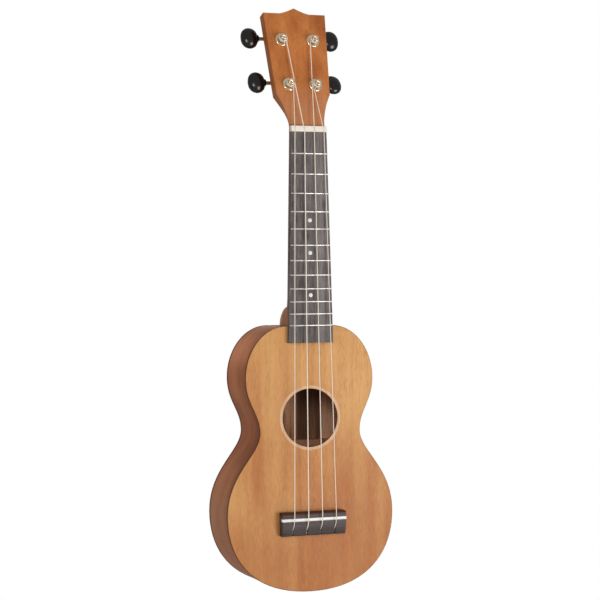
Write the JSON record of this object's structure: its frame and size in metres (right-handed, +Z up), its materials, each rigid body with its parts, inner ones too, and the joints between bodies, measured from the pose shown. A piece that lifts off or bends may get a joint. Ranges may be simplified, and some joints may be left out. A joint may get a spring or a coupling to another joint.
{
  "type": "ukulele",
  "caption": "Soprano ukulele with a figure-of-eight hollow body, round soundhole, fretted neck, slotted bridge and open worm-gear tuners on a tilted headstock.",
  "frame": {"origin": "on the centre line where the nut meets the fretboard, at the fretboard's surface, where a hanger's yoke takes the neck under the headstock", "axes": "+Z up along the neck to the headstock, -Y out of the playing face, +X to the right of a person facing it"},
  "size_m": [0.1574, 0.0678, 0.5267],
  "materials": {
    "top_wood": "satin, straight mahogany grain, warm tan",
    "body_wood": "satin mahogany, darker red-brown",
    "neck_wood": "satin, orange-brown",
    "dark_wood": "dark stained hardwood, streaked, low sheen",
    "pale_wood": "pale inlay ring, satin",
    "inner_wood": "bare, unfinished",
    "bone": "white, polished",
    "fret_metal": "polished wire",
    "nylon": "clear nylon, slightly milky",
    "nickel": "bright nickel plate",
    "black_plastic": "glossy black"
  },
  "bodies": {
    "body_and_neck": {"soundboard": "top_wood", "back": "body_wood", "side_bass": "body_wood", "side_treble": "body_wood", "neck": "neck_wood", "fretboard": "dark_wood", "bridge": "dark_wood", "rosette": "pale_wood", "neck_block": "inner_wood", "tail_block": "inner_wood", "brace_top_upper": "inner_wood", "brace_top_lower": "inner_wood", "brace_back_upper": "inner_wood", "brace_back_lower": "inner_wood", "bridge_plate": "inner_wood", "nut": "bone", "saddle": "bone", "position_dot_05": "bone", "position_dot_07": "bone", "position_dot_10": "bone", "fret_01": "fret_metal", "fret_02": "fret_metal", "fret_03": "fret_metal", "fret_04": "fret_metal", "fret_05": "fret_metal", "fret_06": "fret_metal", "fret_07": "fret_metal", "fret_08": "fret_metal", "fret_09": "fret_metal", "fret_10": "fret_metal", "fret_11": "fret_metal", "fret_12": "fret_metal", "string_g": "nylon", "string_c": "nylon", "string_e": "nylon", "string_a": "nylon", "tuner_plate_g": "nickel", "post_bushing_g": "nickel", "tuner_plate_c": "nickel", "post_bushing_c": "nickel", "tuner_plate_e": "nickel", "post_bushing_e": "nickel", "tuner_plate_a": "nickel", "post_bushing_a": "nickel"},
    "knob_and_worm_g": {"worm_shaft_g": "nickel", "tuner_knob_g": "black_plastic"},
    "post_and_wheel_g": {"string_post_g": "nickel", "worm_wheel_g": "nickel"},
    "knob_and_worm_c": {"worm_shaft_c": "nickel", "tuner_knob_c": "black_plastic"},
    "post_and_wheel_c": {"string_post_c": "nickel", "worm_wheel_c": "nickel"},
    "knob_and_worm_e": {"worm_shaft_e": "nickel", "tuner_knob_e": "black_plastic"},
    "post_and_wheel_e": {"string_post_e": "nickel", "worm_wheel_e": "nickel"},
    "knob_and_worm_a": {"worm_shaft_a": "nickel", "tuner_knob_a": "black_plastic"},
    "post_and_wheel_a": {"string_post_a": "nickel", "worm_wheel_a": "nickel"}
  },
  "joints": [
    {"name": "knob_turn_g", "type": "hinge", "parent": "body_and_neck", "child": "knob_and_worm_g", "pos_m": [-0.01265, 0.03621, 0.04695], "axis": [1, 0, 0], "continuous": true},
    {"name": "post_turn_g", "type": "hinge", "parent": "body_and_neck", "child": "post_and_wheel_g", "pos_m": [-0.01265, 0.01592, 0.04357], "axis": [0, -0.9588, 0.284], "continuous": true, "deforming": ["string_g"]},
    {"name": "knob_turn_c", "type": "hinge", "parent": "body_and_neck", "child": "knob_and_worm_c", "pos_m": [-0.01498, 0.04857, 0.08866], "axis": [1, 0, 0], "continuous": true},
    {"name": "post_turn_c", "type": "hinge", "parent": "body_and_neck", "child": "post_and_wheel_c", "pos_m": [-0.01498, 0.02827, 0.08528], "axis": [0, -0.9588, 0.284], "continuous": true, "deforming": ["string_c"]},
    {"name": "knob_turn_e", "type": "hinge", "parent": "body_and_neck", "child": "knob_and_worm_e", "pos_m": [0.01498, 0.04857, 0.08866], "axis": [1, 0, 0], "continuous": true},
    {"name": "post_turn_e", "type": "hinge", "parent": "body_and_neck", "child": "post_and_wheel_e", "pos_m": [0.01498, 0.02827, 0.08528], "axis": [0, -0.9588, 0.284], "continuous": true, "deforming": ["string_e"]},
    {"name": "knob_turn_a", "type": "hinge", "parent": "body_and_neck", "child": "knob_and_worm_a", "pos_m": [0.01265, 0.03621, 0.04695], "axis": [1, 0, 0], "continuous": true},
    {"name": "post_turn_a", "type": "hinge", "parent": "body_and_neck", "child": "post_and_wheel_a", "pos_m": [0.01265, 0.01592, 0.04357], "axis": [0, -0.9588, 0.284], "continuous": true, "deforming": ["string_a"]}
  ],
  "couplings": [
    {"joint": "post_turn_g", "follows": "knob_turn_g", "ratio": 0.071429},
    {"joint": "post_turn_c", "follows": "knob_turn_c", "ratio": 0.071429},
    {"joint": "post_turn_e", "follows": "knob_turn_e", "ratio": 0.071429},
    {"joint": "post_turn_a", "follows": "knob_turn_a", "ratio": 0.071429}
  ]
}
